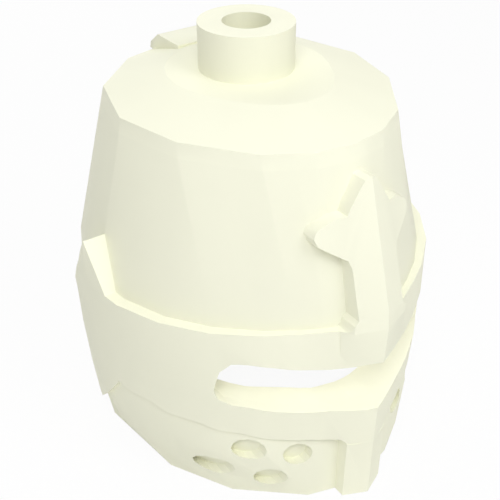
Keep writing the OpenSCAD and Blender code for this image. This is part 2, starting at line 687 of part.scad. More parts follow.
// The hook in its hanging place. Its mouth is an arc about the pivot.
module latch_hook(s) color(steel_col) stand() at_latch(s, stud_u + latch_reach)
  rotate([0, 0, s * hook_swing]) translate([0, 0, latch_plane]) difference() {
    union() {
      cylinder(h = hook_t, r = 6.5, $fn = 48);
      linear_extrude(hook_t) polygon([for (q = [[6.2, -2], [6.2, -latch_reach - 3],
        [3, -latch_reach - 7.4], [-3.6, -latch_reach - 7.4], [-6.6, -latch_reach - 3], [-6.4, -2]])
        [-s * q[0], q[1]]]);
    }
    translate([0, 0, -1]) cylinder(h = hook_t + 2, r = neck_r + 0.05, $fn = 32);
    translate([0, -latch_reach, -1]) cylinder(h = hook_t + 2, r = neck_r + 0.4, $fn = 32);
    intersection() {
      difference() {
        translate([0, 0, -1]) cylinder(h = hook_t + 2, r = latch_reach + neck_r + 0.4, $fn = 96);
        translate([0, 0, -2]) cylinder(h = hook_t + 4, r = latch_reach - neck_r - 0.4, $fn = 96);
      }
      translate([s > 0 ? -20 : 0, -latch_reach - 8, -1]) cube([20, 20, hook_t + 2]);
    }
  }
module latch_stud_right() latch_post(-1, stud_u);
module latch_stud_left() latch_post(1, stud_u);
module latch_pivot_right() latch_post(-1, stud_u + latch_reach);
module latch_pivot_left() latch_post(1, stud_u + latch_reach);
module latch_hook_right() latch_hook(-1);
module latch_hook_left() latch_hook(1);

// Pads: stuffed cushions against the inside of the wall, drawn in at the edges
// and quilted by sewn channels.
function pad_level(d, t) = [up(d), rim_side + slope_side * (min(d, ledge_d) - rim_drop) - wall - t,
  rim_front + slope_front * (min(d, ledge_d) - rim_drop) - wall - t, 0, 3, 0, 20];
function low_side_at(d) = d < 181 ? brow_side - max(0, d - 150) / 31 : brow_side - 1 - 0.12 * (d - 181);
function low_pad_level(d, t) = let (r = low_side_at(d) - wall - t) [up(d), r, r, 0, 3, 0, 20];
module channel(p, d, r, lean, l) out_at(p, d, r, lean) rotate([0, 90, 0])
  cylinder(h = l, r = 2.4, center = true, $fn = 4);
module brow_pad() color(pad_col) stand() difference() {
  intersection() {
    inner_solid(wall);
    slab(56, 118);
    front_wedge(62, up(130), crown_h);
  }
  loft([pad_level(119, pad_edge), pad_level(112, pad_soft - 4), pad_level(98, pad_soft),
    pad_level(76, pad_soft), pad_level(62, pad_soft - 4), pad_level(55, pad_edge)], 0);
  for (a = [-50 : 20 : 50]) channel(a, 87, plan(pad_level(87, pad_soft), abs(a)), lean_side, 70);
  for (s = [-1, 1])
    out_at(s * 13.7, 60, wall_r(13.7, 60) - wall + seat, atan(slope_front)) screw_hole(10);
  for (d = [62, 104]) out_at(0, d, wall_r(0, d) - wall + seat, atan(slope_front)) screw_hole(12);
}
module ear_pad(s) color(pad_col) stand() difference() {
  intersection() {
    inner_solid(wall);
    slab(132, 206);
    front_wedge(128, 0, crown_h);
    translate([s > 0 ? 0 : -300, 0, 0]) cube(300);
  }
  front_wedge(99, 0, crown_h);
  loft([low_pad_level(207, pad_edge), low_pad_level(199, pad_soft - 4), low_pad_level(184, pad_soft),
    low_pad_level(154, pad_soft), low_pad_level(140, pad_soft - 4), low_pad_level(131, pad_edge)], 0);
  for (a = [106.5, 114, 121.5]) channel(s * a, 169, brow_side - wall - pad_soft, 0, 80);
  brow_screws(s) screw_hole(9.2);
  tail_screws(s) screw_hole(10);
}
module ear_pad_right() ear_pad(-1);
module ear_pad_left() ear_pad(1);
module nape_pad() color(pad_col) stand() difference() {
  intersection() {
    inner_solid(wall);
    slab(120, 236);
    back_wedge(34, 0, crown_h);
  }
  loft([low_pad_level(237, pad_edge + 7), low_pad_level(227, pad_soft), low_pad_level(205, pad_soft + 2),
    low_pad_level(150, pad_soft + 2), low_pad_level(130, pad_soft - 3), low_pad_level(119, pad_edge)], 0);
  for (a = [-24 : 12 : 24]) channel(180 + a, 178, brow_side - wall - pad_soft - 2, 0, 130);
  for (s = [-1, 1]) band_spots(s) screw_hole(10);
}
module crown_pad() color(pad_col) stand() difference() {
  rotate_extrude($fn = 48) polygon([[0, up(13.2)], [36, up(13.2)], [36, up(6.4)], [46, up(6.4)],
    [50, up(7.1)], [60, up(10.1)], [64, up(14)], [61, up(23)], [48, up(29.5)], [24, up(33)], [0, up(34)]]);
  for (a = [0 : 30 : 150]) rotate([0, 0, a]) translate([-70, 0, up(34)]) rotate([0, 90, 0])
    cylinder(h = 140, r = 2.6, $fn = 4);
}

crown_plate();
crest_socket();
socket_ring_nut();
joining_ring();
joining_ring_screws();
skull();
face_guard();
brow_cross();
lower_face_plate();
inner_face_plate();
nose_bar();
guard_screws();
face_plate_screws();
cross_screws();
hinge_lug();
lug_screws();
hinge_pin();
hinge_leaf();
leaf_screws();
back_plate();
nape_band();
nape_band_screws();
latch_stud_right();
latch_stud_left();
latch_hook_right();
latch_hook_left();
latch_pivot_right();
latch_pivot_left();
crown_pad();
brow_pad();
ear_pad_right();
ear_pad_left();
nape_pad();
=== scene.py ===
# %% [markdown]
# Ivory flat-topped helmet
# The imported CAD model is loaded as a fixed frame: its shells are already right in
# shape, so this lesson gives them their finish, and models what the CAD only
# stands in for, which is the stuffed linen pads, their piping and stitches, and
# the screws. Everything is in metres. The wearer looks along -Y.

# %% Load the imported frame
import json
import math

import bmesh
import bpy
from mathutils import Matrix, Vector
from mathutils.bvhtree import BVHTree


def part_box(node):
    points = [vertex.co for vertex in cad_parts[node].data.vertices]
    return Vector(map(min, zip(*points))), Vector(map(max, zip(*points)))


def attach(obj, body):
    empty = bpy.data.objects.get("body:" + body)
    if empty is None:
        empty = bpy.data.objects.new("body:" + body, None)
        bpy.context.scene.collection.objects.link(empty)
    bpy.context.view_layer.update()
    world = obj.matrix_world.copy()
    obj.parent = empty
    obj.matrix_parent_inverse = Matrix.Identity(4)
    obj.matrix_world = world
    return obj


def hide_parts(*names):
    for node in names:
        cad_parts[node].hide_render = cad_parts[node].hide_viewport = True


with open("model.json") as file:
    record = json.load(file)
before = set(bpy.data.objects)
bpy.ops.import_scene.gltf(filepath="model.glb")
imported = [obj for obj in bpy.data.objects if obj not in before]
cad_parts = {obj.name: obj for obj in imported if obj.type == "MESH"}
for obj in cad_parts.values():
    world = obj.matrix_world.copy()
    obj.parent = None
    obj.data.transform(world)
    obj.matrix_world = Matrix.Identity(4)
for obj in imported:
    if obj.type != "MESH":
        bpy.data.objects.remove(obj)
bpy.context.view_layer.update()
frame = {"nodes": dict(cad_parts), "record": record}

nodes = frame["nodes"]
print("pieces in the frame:", len(nodes))

# %% [markdown]
# Camera
# The picture was taken from the helmet's front right, from about one and a half
# helmet heights up, looking 34 degrees down. Where lines that are parallel on
# the helmet meet in the picture gives the lens. The camera comes first, so
# that each piece can be judged in the picture's own frame.

# %% Camera
camera_data = bpy.data.cameras.new("picture_camera")
camera_data.lens = 60.88
camera_data.sensor_width = 36
camera = bpy.data.objects.new("picture_camera", camera_data)
camera.location = (-0.30485, -0.42346, 0.48575)
camera.rotation_euler = (math.radians(90 - 34.016), 0, math.radians(-35.218))
bpy.context.collection.objects.link(camera)
bpy.context.scene.camera = camera
print("camera stands", round(camera.location.length, 3), "m from the floor's middle")

# %% [markdown]
# Helpers for the finishes
# Every finish here is a small tree of nodes. The helper adds a node and sets its
# inputs in one line, so that a material reads like a recipe. Patterns read Object
# coordinates, which are metres on this helmet, so a scale is a real size.

# %% Material helpers
def new_finish(name):
    finish = bpy.data.materials.new(name)
    finish.use_nodes = True
    tree = finish.node_tree
    for old in list(tree.nodes):
        tree.nodes.remove(old)
    return finish, tree


def add(tree, kind, inputs=(), **settings):
    node = tree.nodes.new("ShaderNode" + kind)
    for key, value in settings.items():
        setattr(node, key, value)
    for key, value in dict(inputs).items():
        if isinstance(value, bpy.types.NodeSocket):
            tree.links.new(value, node.inputs[key])
        else:
            node.inputs[key].default_value = value
    return node


def ramp(tree, factor, low, high, low_at=0.0, high_at=1.0):
    node = add(tree, "ValToRGB", {"Fac": factor})
    node.color_ramp.elements[0].position = low_at
    node.color_ramp.elements[0].color = (*low, 1)
    node.color_ramp.elements[1].position = high_at
    node.color_ramp.elements[1].color = (*high, 1)
    return node.outputs["Color"]


def close_finish(tree, shader):
    add(tree, "OutputMaterial", {"Surface": shader})


def multiply(tree, value, by):
    return add(tree, "Math", {0: value, 1: by}, operation="MULTIPLY").outputs[0]


# %% [markdown]
# Ivory moulded plastic
# The shells are matte and pale, a warm white with a touch of green in it. A real moulded shell is
# never one flat colour: the batch varies a little from place to place, and the tool leaves a fine
# satin grain. Two noises carry the colour and the gloss, a third very fine one the grain, and
# Pointiness makes the sharp edges a little paler.

# %% Ivory shell finish
IVORY = (0.905, 0.905, 0.735)


def moulded(name, tint, rough, grain):
    finish, tree = new_finish(name)
    place = add(tree, "TexCoord").outputs["Object"]
    cloudy = add(tree, "TexNoise", {"Vector": place, "Scale": 14.0, "Detail": 4.0}).outputs["Fac"]
    dark = tuple(c * 0.975 for c in tint)
    base = ramp(tree, cloudy, dark, tint, 0.3, 0.7)
    # Pointiness makes the sharp edges up to 3 percent paler in colour.
    edge = add(tree, "NewGeometry").outputs["Pointiness"]
    paler_edges = ramp(tree, edge, (0, 0, 0), (1, 1, 1), 0.52, 0.62)
    pale = tuple(min(1.0, c * 1.03) for c in tint)
    colour = add(tree, "Mix", {"Factor": paler_edges, "A": base, "B": (*pale, 1)}, data_type="RGBA")
    smear = add(tree, "TexNoise", {"Vector": place, "Scale": 45.0, "Detail": 3.0}).outputs["Fac"]
    gloss = add(tree, "MapRange", {"Value": smear, "To Min": rough - 0.06, "To Max": rough + 0.08})
    fine = add(tree, "TexNoise", {"Vector": place, "Scale": 1400.0, "Detail": 2.0}).outputs["Fac"]
    skin = add(tree, "Bump", {"Height": fine, "Strength": grain, "Distance": 0.0002})
    body = add(tree, "BsdfPrincipled", {
        "Base Color": colour.outputs["Result"], "Roughness": gloss.outputs["Result"],
        "Normal": skin.outputs["Normal"], "Specular IOR Level": 0.3})
    close_finish(tree, body.outputs["BSDF"])
    return finish


ivory_shell = moulded("ivory_shell", IVORY, 0.62, 0.12)
print("ivory shell finish:", len(ivory_shell.node_tree.nodes), "nodes")

# %% [markdown]
# Painted fittings
# The ring nut, the hinge leaf and the latches would be metal on a real helmet of
# this kind, sprayed the same ivory. Sprayed paint has a slightly glossier skin
# with a soft orange-peel bump, coarser than the grain of the moulding.

# %% Painted fittings finish
def sprayed(name, tint):
    finish, tree = new_finish(name)
    place = add(tree, "TexCoord").outputs["Object"]
    drift = add(tree, "TexNoise", {"Vector": place, "Scale": 60.0, "Detail": 3.0}).outputs["Fac"]
    colour = ramp(tree, drift, tuple(c * 0.95 for c in tint), tint, 0.3, 0.7)
    gloss = add(tree, "MapRange", {"Value": drift, "To Min": 0.3, "To Max": 0.42})
    peel = add(tree, "TexNoise", {"Vector": place, "Scale": 420.0, "Detail": 1.0}).outputs["Fac"]
    skin = add(tree, "Bump", {"Height": peel, "Strength": 0.18, "Distance": 0.0003})
    body = add(tree, "BsdfPrincipled", {
        "Base Color": colour, "Roughness": gloss.outputs["Result"],
        "Normal": skin.outputs["Normal"]})
    close_finish(tree, body.outputs["BSDF"])
    return finish


fitting_paint = sprayed("fitting_paint", (0.86, 0.86, 0.7))
print("fitting paint:", len(fitting_paint.node_tree.nodes), "nodes")

# %% [markdown]
# Screw steel
# The screws are plain turned steel. Stretching a noise a lot in one direction
# gives the fine scratches that turning and driving leave; they vary both the
# roughness and a faint bump.

# %% Screw steel finish
def turned_steel(name):
    finish, tree = new_finish(name)
    place = add(tree, "TexCoord").outputs["Object"]
    stretched = add(tree, "Mapping", {"Vector": place, "Scale": (60.0, 60.0, 2200.0)})
    streak = add(tree, "TexNoise", {
        "Vector": stretched.outputs["Vector"], "Scale": 1.0, "Detail": 3.0}).outputs["Fac"]
    cloud = add(tree, "TexNoise", {"Vector": place, "Scale": 90.0}).outputs["Fac"]
    colour = ramp(tree, cloud, (0.42, 0.42, 0.41), (0.62, 0.62, 0.6), 0.3, 0.7)
    gloss = add(tree, "MapRange", {"Value": streak, "To Min": 0.26, "To Max": 0.44})
    skin = add(tree, "Bump", {"Height": streak, "Strength": 0.15, "Distance": 0.0001})
    body = add(tree, "BsdfPrincipled", {
        "Base Color": colour, "Metallic": 1.0, "Roughness": gloss.outputs["Result"],
        "Normal": skin.outputs["Normal"]})
    close_finish(tree, body.outputs["BSDF"])
    return finish


screw_steel = turned_steel("screw_steel")
print("screw steel:", len(screw_steel.node_tree.nodes), "nodes")

# %% [markdown]
# Linen
# The pads are bags of plain-woven linen. The weave has to run round the helmet and up and down it,
# not through it, so the pattern is laid on a cylinder: the angle round the upright axis times the
# wall's radius gives one thread's direction, the height gives the other. Two waves cross for the
# threads, and a noise makes some threads thicker, which is what makes linen look like linen. The
# low parts of the weave are also painted up to 16 percent darker, a painted shade between the
# threads.

# %% Linen finish
THREAD = 0.0011
TUBE_Y = 0.0125
WALL_RADIUS = 0.11


def woven(name, tint, flat_lay):
    finish, tree = new_finish(name)
    place = add(tree, "TexCoord").outputs["Object"]
    axes = add(tree, "SeparateXYZ", {"Vector": place}).outputs
    if flat_lay:
        across, along = axes["X"], axes["Y"]
    else:
        behind = add(tree, "Math", {0: axes["Y"], 1: TUBE_Y}, operation="SUBTRACT").outputs[0]
        angle = add(tree, "Math", {0: axes["X"], 1: behind}, operation="ARCTAN2").outputs[0]
        across = multiply(tree, angle, WALL_RADIUS)
        along = axes["Z"]
    slub = add(tree, "TexNoise", {"Vector": place, "Scale": 160.0, "Detail": 4.0}).outputs["Fac"]
    heights = []
    for way in (across, along):
        turns = multiply(tree, way, 2 * math.pi / THREAD)
        shifted = add(tree, "Math", {0: turns, 1: multiply(tree, slub, 3.0)}).outputs[0]
        heights.append(add(tree, "Math", {0: shifted}, operation="SINE").outputs[0])
    weave = multiply(tree, *heights)
    lift = add(tree, "MapRange", {
        "Value": weave, "From Min": -1.0, "From Max": 1.0}).outputs["Result"]
    soil = add(tree, "TexNoise", {"Vector": place, "Scale": 22.0, "Detail": 5.0}).outputs["Fac"]
    cloth = ramp(tree, soil, tuple(c * 0.86 for c in tint), tint, 0.35, 0.65)
    # Painted shade: the low parts of the weave are painted darker, where shade between the threads
    # would fall.
    painted_weave_shade = ramp(tree, lift, (0.84, 0.84, 0.84), (1, 1, 1))
    colour = add(tree, "Mix", {"Factor": 1.0, "A": cloth, "B": painted_weave_shade}, data_type="RGBA",
                 blend_type="MULTIPLY")
    skin = add(tree, "Bump", {"Height": lift, "Strength": 0.5, "Distance": 0.0004})
    gloss = add(tree, "MapRange", {"Value": slub, "To Min": 0.82, "To Max": 0.95})
    body = add(tree, "BsdfPrincipled", {
        "Base Color": colour.outputs["Result"], "Roughness": gloss.outputs["Result"],
        "Normal": skin.outputs["Normal"], "Sheen Weight": 0.25, "Sheen Roughness": 0.4})
    close_finish(tree, body.outputs["BSDF"])
    return finish


LINEN = (0.68, 0.6, 0.44)
linen = woven("linen", LINEN, False)
crown_linen = woven("crown_linen", LINEN, True)
binding = woven("linen_binding", tuple(c * 0.82 for c in LINEN), False)
thread = woven("linen_thread", tuple(c * 0.7 for c in LINEN), True)
print("linen threads per cm:", round(0.01 / THREAD, 1))

# %% [markdown]
# Dressing the frame
# Every CAD piece whose shape is right keeps its mesh, and only gets its finish,
# through its object's material slots.

# %% Finish of the CAD pieces
finish_of = {
    "shell": ivory_shell, "fittings": fitting_paint, "screws": screw_steel, "lining": linen}
for part in frame["record"]["subparts"]:
    piece = nodes[part["node"]]
    wanted = finish_of[part["material_slot"]]
    if not piece.material_slots:
        piece.data.materials.append(wanted)
    for place in piece.material_slots:
        place.link = "OBJECT"
        place.material = wanted
print("dressed:", {k: v.name for k, v in finish_of.items()})

# %% [markdown]
# Clean shells
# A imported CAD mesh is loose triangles, so its facets show as flat strips. On the
# real moulding the wall is faceted only where the tool was cut to an edge, and
# flows softly over the shallow bends. A copy with its corners merged and its
# flat triangles dissolved can be shaded smooth across the shallow bends alone:
# up to 44 degrees on the skull, the back and the crown, whose corners are broad,
# 36 on the guard and the nape band, and 28 on the rest, which keeps the twelve
# flats of each breath and the ridges crisp. Each copy replaces its CAD piece and
# rides on the same body.

# %% Copies that shade smoothly
SOFT_BEND = {"skull": 44, "back_plate": 44, "crown_plate": 44, "nape_band": 36, "face_guard": 36}
OTHER_BEND = 28
FLAT = math.radians(0.4)
SAME_SPOT = 0.00002
body_of = {n: b for b, names in frame["record"]["behaviour"]["bodies"].items() for n in names}


def only(piece):
    bpy.ops.object.select_all(action="DESELECT")
    piece.select_set(True)
    bpy.context.view_layer.objects.active = piece


def copy_of(node, name):
    piece = bpy.data.objects.new(name, nodes[node].data.copy())
    bpy.context.collection.objects.link(piece)
    for key in list(piece.data.attributes.keys()):
        if key in ("custom_normal", "sharp_face", "sharp_edge"):
            piece.data.attributes.remove(piece.data.attributes[key])
    only(piece)
    bpy.ops.object.mode_set(mode="EDIT")
    bpy.ops.mesh.select_all(action="SELECT")
    bpy.ops.mesh.remove_doubles(threshold=SAME_SPOT)
    bpy.ops.object.mode_set(mode="OBJECT")
    return piece


def join_copies(copies, name):
    bpy.ops.object.select_all(action="DESELECT")
    for copy in copies:
        copy.select_set(True)
    bpy.context.view_layer.objects.active = copies[0]
    bpy.ops.object.join()
    joined = bpy.context.object
    joined.name = name
    return joined


def settle(piece, node, finish):
    piece.data.materials.clear()
    piece.data.materials.append(finish)
    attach(piece, body_of[node])
    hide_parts(node)


def dissolve_flats(piece):
    only(piece)
    bpy.ops.object.mode_set(mode="EDIT")
    bpy.ops.mesh.select_all(action="SELECT")
    bpy.ops.mesh.dissolve_limited(angle_limit=FLAT)
    bpy.ops.object.mode_set(mode="OBJECT")


def clean_shell(node):
    piece = copy_of(node, node + "_shell")
    dissolve_flats(piece)
    bpy.ops.object.shade_smooth_by_angle(angle=math.radians(SOFT_BEND.get(node, OTHER_BEND)))
    settle(piece, node, ivory_shell)
    return piece


def crease(piece, test):
    marked = 0
    for edge in piece.data.edges:
        if all(test(piece.data.vertices[i].co) for i in edge.vertices):
            edge.use_edge_sharp = True
            marked += 1
    return marked


SHELLS = ["crown_plate", "crest_socket", "joining_ring", "skull", "face_guard", "brow_cross",
          "lower_face_plate", "inner_face_plate", "nose_bar", "back_plate", "nape_band"]
shells = {node: clean_shell(node) for node in SHELLS}
for node, piece in shells.items():
    print(node, len(nodes[node].data.polygons), "triangles ->", len(piece.data.polygons), "faces")
CROWN_TOP = 0.274
print("edges of the flat disc kept crisp:",
      crease(shells["crown_plate"], lambda spot: spot.z > CROWN_TOP - 0.0001))

# %% [markdown]
# Eased fittings
# Sheet and turned parts are never knife sharp: they are tumbled or filed before
# they are painted. A Bevel modifier on every edge sharper than 40 degrees gives
# that small round, and applying it leaves a plain mesh.

# %% Fittings with filed edges
def eased(node, finish, width):
    piece = copy_of(node, node + "_filed")
    dissolve_flats(piece)
    file_edge = piece.modifiers.new("filed", "BEVEL")
    file_edge.width = width
    file_edge.segments = 2
    file_edge.limit_method = "ANGLE"
    file_edge.angle_limit = math.radians(40)
    file_edge.use_clamp_overlap = True
    bpy.ops.object.modifier_apply(modifier="filed")
    bpy.ops.object.shade_smooth_by_angle(angle=math.radians(35))
    settle(piece, node, finish)
    return piece


for node in ("latch_hook_right", "latch_hook_left", "latch_stud_right", "latch_stud_left",
             "latch_pivot_right", "latch_pivot_left", "hinge_leaf", "socket_ring_nut"):
    eased(node, fitting_paint, 0.00028)
eased("hinge_lug", ivory_shell, 0.0003)
eased("hinge_pin", screw_steel, 0.0002)
print("filed edges: 0.28 mm on the fittings")

# %% [markdown]
# One screw
# Pan-head screws hold the shells from inside, where nobody sees them when the
# helmet is worn. One is modelled: a short cylinder, its top inset twice to dome
# it, cut by two planes and the strip between them pushed in for the slot, its
# underside inset and extruded to a shank. The CAD gives each screw's place.

# %% Model one screw
HEAD_R, HEAD_H, SHANK_R = 0.004, 0.0018, 0.002
RIM_H, SHANK = 0.001, 0.006
SLOT_HALF, SLOT_DEPTH = 0.00045, 0.0009
TURN_EACH = 37


def pick(piece, test):
    mesh = bmesh.from_edit_mesh(piece.data)
    for part in list(mesh.faces) + list(mesh.edges) + list(mesh.verts):
        part.select = False
    for face in mesh.faces:
        if test(face):
            face.select_set(True)
    bmesh.update_edit_mesh(piece.data)
    return sum(face.select for face in mesh.faces)


def one_screw():
    bpy.ops.object.select_all(action="DESELECT")
    bpy.ops.mesh.primitive_cylinder_add(
        vertices=28, radius=HEAD_R, depth=RIM_H, location=(0, 0, RIM_H / 2))
    screw = bpy.context.object
    screw.name = "pan_screw"
    bpy.ops.object.transform_apply(location=True)
    bpy.ops.object.mode_set(mode="EDIT")
    bpy.ops.mesh.select_mode(type="FACE")
    pick(screw, lambda f: f.normal.z > 0.9)
    bpy.ops.mesh.inset(thickness=0.0005, depth=0.0005)
    bpy.ops.mesh.inset(thickness=0.0008, depth=0.0003)
    for side in (-SLOT_HALF, SLOT_HALF):
        pick(screw, lambda f: f.normal.z > 0.99 and f.calc_center_median().z > 0.0017)
        bpy.ops.mesh.bisect(plane_co=(side, 0, 0), plane_no=(1, 0, 0))
    pick(screw, lambda f: f.normal.z > 0.99 and f.calc_center_median().z > 0.0017
         and abs(f.calc_center_median().x) < 0.0002)
    bpy.ops.mesh.extrude_region_move(TRANSFORM_OT_translate={"value": (0, 0, -SLOT_DEPTH)})
    pick(screw, lambda f: f.normal.z < -0.9 and f.calc_center_median().z < 0.0001)
    bpy.ops.mesh.inset(thickness=HEAD_R - SHANK_R)
    bpy.ops.mesh.extrude_region_move(TRANSFORM_OT_translate={"value": (0, 0, -SHANK)})
    bpy.ops.object.mode_set(mode="OBJECT")
    bpy.ops.object.shade_smooth_by_angle(angle=math.radians(30))
    screw.data.materials.append(screw_steel)
    return screw


screw = one_screw()
print("one screw:", len(screw.data.polygons), "faces")

# %% [markdown]
# The screws in their places
# Each CAD screw node holds several loose plain screws. The widest flat patch of
# each is the top of its head, so its centre and its direction give the place,
# and the far end of the shank gives the length.

# %% Copy the screw to each place
def screw_seats(node):
    mesh = bmesh.new()
    mesh.from_mesh(nodes[node].data)
    bmesh.ops.remove_doubles(mesh, verts=mesh.verts, dist=SAME_SPOT)
    left, seats = set(mesh.verts), []
    while left:
        island, queue = set(), [next(iter(left))]
        while queue:
            corner = queue.pop()
            if corner in island:
                continue
            island.add(corner)
            queue.extend(edge.other_vert(corner) for edge in corner.link_edges)
        left -= island
        patches = {}
        for face in {f for corner in island for f in corner.link_faces}:
            key = tuple(round(c, 1) for c in face.normal)
            patch = patches.setdefault(key, [0.0, Vector(), Vector()])
            patch[0] += face.calc_area()
            patch[1] += face.calc_center_median() * face.calc_area()
            patch[2] += face.normal * face.calc_area()
        area, place, way = max(patches.values(), key=lambda p: p[0])
        place, way = place / area, way.normalized()
        reach = max((place - corner.co).dot(way) for corner in island)
        seats.append((place, way, reach))
    mesh.free()
    return sorted(seats, key=lambda seat: tuple(round(c, 5) for c in seat[0]))


def screws_for(node):
    copies = []
    for index, (place, way, reach) in enumerate(screw_seats(node)):
        copy = bpy.data.objects.new(node + "_copy", screw.data.copy())
        for corner in copy.data.vertices:
            if corner.co.z < -0.001:
                corner.co.z = HEAD_H - reach
        turn = Matrix.Rotation(math.radians(TURN_EACH * index), 4, "Z")
        stand = Vector((0, 0, 1)).rotation_difference(way).to_matrix().to_4x4()
        seat = Matrix.Translation(place - way * HEAD_H)
        copy.data.transform(seat @ stand @ turn)
        bpy.context.collection.objects.link(copy)
        copies.append(copy)
    settle(join_copies(copies, node + "_slotted"), node, screw_steel)
    return len(copies)


counts = {node: screws_for(node) for node in (
    "joining_ring_screws", "guard_screws", "face_plate_screws", "cross_screws", "lug_screws",
    "leaf_screws", "nape_band_screws")}
bpy.data.objects.remove(screw)
print("screws placed:", counts)

# %% [markdown]
# Stuffed pads
# Inside the helmet linen bags stuffed with wadding keep it off the head. Each is
# blown up as real stuffing does it: the CAD pad is remeshed to even squares, the
# side against the wall is pinned, and a short cloth run with inner pressure
# swells the rest. Its travel is capped, so that a pad stays in its own place.
# The bags are already crowned in the CAD, so only the long nape pad swells by
# more than a millimetre.

# %% Blow up one pad
SQUARE, SWELL_CAP, SHRINK = 0.0042, 0.0045, 0.0015
CLOTH_STEPS = 20


def outward(point, crown):
    if crown:
        return Vector((0, 0, 1))
    return Vector((point.x, point.y - TUBE_Y, 0)).normalized()


def stuffed(node, crown=False):
    pad = copy_of(node, node + "_stuffed")
    pad.data.remesh_voxel_size = SQUARE
    only(pad)
    bpy.ops.object.voxel_remesh()
    held = pad.vertex_groups.new(name="against_wall")
    free = []
    for corner in pad.data.vertices:
        way = outward(corner.co, crown)
        facing = corner.normal.dot(way)
        held.add([corner.index], 1.0 if facing > 0.35 else 0.0, "REPLACE")
        if facing <= 0.35:
            free.append(corner.index)
            corner.co -= corner.normal * SHRINK
    start = {i: pad.data.vertices[i].co.copy() for i in free}
    cloth = pad.modifiers.new("wadding", "CLOTH")
    cloth.settings.use_pressure = True
    cloth.settings.uniform_pressure_force = 4
    cloth.settings.effector_weights.gravity = 0
    cloth.settings.vertex_group_mass = "against_wall"
    cloth.settings.tension_stiffness = 12
    cloth.settings.bending_stiffness = 1
    for step in range(1, CLOTH_STEPS + 1):
        bpy.context.scene.frame_set(step)
    only(pad)
    bpy.ops.object.modifier_apply(modifier="wadding")
    bpy.context.scene.frame_set(1)
    widest = 0
    for i in free:
        travel = pad.data.vertices[i].co - start[i]
        widest = max(widest, travel.length)
        if travel.length > SWELL_CAP:
            pad.data.vertices[i].co = start[i] + travel.normalized() * SWELL_CAP
    finer = pad.modifiers.new("finer", "SUBSURF")
    finer.levels = finer.render_levels = 1
    bpy.ops.object.modifier_apply(modifier="finer")
    print(node, "swelled by", round(1000 * min(widest, SWELL_CAP), 1), "mm at most,",
          round(1000 * widest, 1), "before the cap,", len(pad.data.polygons), "faces")
    return pad


PADS = ["brow_pad", "ear_pad_right", "ear_pad_left", "nape_pad", "crown_pad"]
pads = {node: stuffed(node, crown=node == "crown_pad") for node in PADS}

# %% [markdown]
# Sewn channels
# Rows of stitches through the bag hold the wadding in place, and draw the cloth
# down in grooves. A groove is pressed along each row: a corner of the mesh moves
# towards the wall by an amount that falls off with its distance from the row. A
# ray to the CAD pad's back tells how much room is left, so that the groove never
# comes through.

# %% Press the channels
GROOVE, GROOVE_HALF = 0.0052, 0.0042


def bearing(point):
    return math.degrees(math.atan2(point.x, -(point.y - TUBE_Y)))


ROWS = {
    "brow_pad": [-50, -30, -10, 10, 30, 50],
    "ear_pad_right": [-106.5, -114, -121.5],
    "ear_pad_left": [106.5, 114, 121.5],
    "nape_pad": [156, 168, 180, -168, -156],
    "crown_pad": [0, 30, 60, 90, 120, 150],
}


def off_row(node, point):
    if node == "crown_pad":
        spot = Vector((point.x, point.y - TUBE_Y))
        return min(abs(spot.x * math.sin(math.radians(a)) - spot.y * math.cos(math.radians(a)))
                   for a in ROWS[node])
    turns = [(bearing(point) - a + 180) % 360 - 180 for a in ROWS[node]]
    return math.radians(min(abs(t) for t in turns)) * Vector((point.x, point.y - TUBE_Y)).length


def press_channels(node):
    pad, crown = pads[node], node == "crown_pad"
    back = BVHTree.FromObject(nodes[node], bpy.context.evaluated_depsgraph_get())
    moved = 0
    for corner in pad.data.vertices:
        way = outward(corner.co, crown)
        if corner.normal.dot(way) > 0.2:
            continue
        gap = off_row(node, corner.co)
        press = GROOVE * math.exp(-(gap / GROOVE_HALF) ** 2)
        hit = back.ray_cast(corner.co + way * 0.0002, way)
        room = max(0.0, (hit[3] or 0.0) - 0.002)
        corner.co += way * min(press, room)
        moved += press > 0.001
    pad.data.update()
    return moved


for node in PADS:
    print(node, press_channels(node), "corners pressed into", len(ROWS[node]), "channels")
    only(pads[node])
    bpy.ops.object.shade_smooth()
    settle(pads[node], node, crown_linen if node == "crown_pad" else linen)

# %% [markdown]
# Stitches
# Thick waxed thread shows as a row of short dashes along the bottom of every
# channel. One dash is a small rod with rounded ends. It is laid down every five
# millimetres by a ray from the head space on to the pad, and turned along the
# row.

# %% Model one stitch and sew the rows
STITCH_EVERY = 0.005


def one_stitch():
    bpy.ops.object.select_all(action="DESELECT")
    bpy.ops.mesh.primitive_cylinder_add(vertices=6, radius=0.00042, depth=0.0026)
    stitch = bpy.context.object
    bpy.ops.object.mode_set(mode="EDIT")
    bpy.ops.mesh.select_mode(type="FACE")
    pick(stitch, lambda f: abs(f.normal.z) > 0.9)
    bpy.ops.mesh.inset(thickness=0.0002, depth=0.0003, use_individual=True)
    bpy.ops.object.mode_set(mode="OBJECT")
    return stitch


def row_spots(node):
    pad = BVHTree.FromObject(pads[node], bpy.context.evaluated_depsgraph_get())
    low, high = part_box(node)
    spots = []
    for a in ROWS[node]:
        turn = math.radians(a)
        if node == "crown_pad":
            run = Vector((math.cos(turn), math.sin(turn), 0))
            steps = [run * (STITCH_EVERY * k) + Vector((0, TUBE_Y, low.z - 0.02))
                     for k in range(-11, 12)]
            rays = [(spot, Vector((0, 0, 1)), run) for spot in steps]
        else:
            way = Vector((math.sin(turn), -math.cos(turn), 0))
            count = int((high.z - low.z - 0.012) / STITCH_EVERY)
            rays = [(Vector((0, TUBE_Y, low.z + 0.007 + STITCH_EVERY * k)), way,
                     Vector((0, 0, 1))) for k in range(count + 1)]
        for begin, way, run in rays:
            hit = pad.ray_cast(begin, way)
            if hit[0] is not None and hit[1].dot(way) < -0.3:
                along = (run - hit[1] * run.dot(hit[1])).normalized()
                spots.append((hit[0] + hit[1] * 0.0001, hit[1], along))
    return spots


